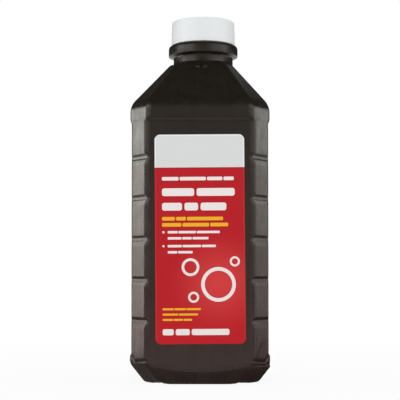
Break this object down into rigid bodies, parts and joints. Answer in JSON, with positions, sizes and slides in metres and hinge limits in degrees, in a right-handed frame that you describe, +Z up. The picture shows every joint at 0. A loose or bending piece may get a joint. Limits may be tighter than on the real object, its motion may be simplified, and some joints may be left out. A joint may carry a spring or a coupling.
{
  "type": "screw-cap bottle",
  "caption": "Oblong blow-moulded bottle with chamfered grooved corners, sloped shoulder, collared threaded neck, lined screw cap, foil seal and paper labels.",
  "frame": {"origin": "centre of the body's box at the level of its standing face", "axes": "+Z up along the neck, -Y out of the front label, +X to the right seen from the front"},
  "size_m": [0.068, 0.06, 0.1782],
  "materials": {
    "bottle_plastic": "dark brown blow-moulded polyethylene, satin",
    "cap_plastic": "white moulded polypropylene, satin",
    "liner_board": "pale pulp board with a waxed face",
    "seal_foil": null,
    "front_label_film": "semi-gloss printed label, white band over red",
    "back_label_film": "semi-gloss printed label, white with grey lines"
  },
  "bodies": {
    "bottle": {"bottle_body": "bottle_plastic", "foil_seal": "seal_foil", "front_label": "front_label_film", "back_label": "back_label_film"},
    "liner": {"cap_liner": "liner_board"},
    "cap": {"screw_cap": "cap_plastic"}
  },
  "joints": [
    {"name": "cap_lift", "type": "slide", "parent": "bottle", "child": "liner", "axis": [0, 0, 1], "range_m": [0, 0.019]},
    {"name": "cap_turn", "type": "hinge", "parent": "liner", "child": "cap", "pos_m": [0.0016, 0, 0.172], "axis": [0, 0, 1], "range_deg": [0, 1620]}
  ],
  "couplings": [
    {"joint": "cap_turn", "follows": "cap_lift", "rad_per_m": 1484.3}
  ]
}
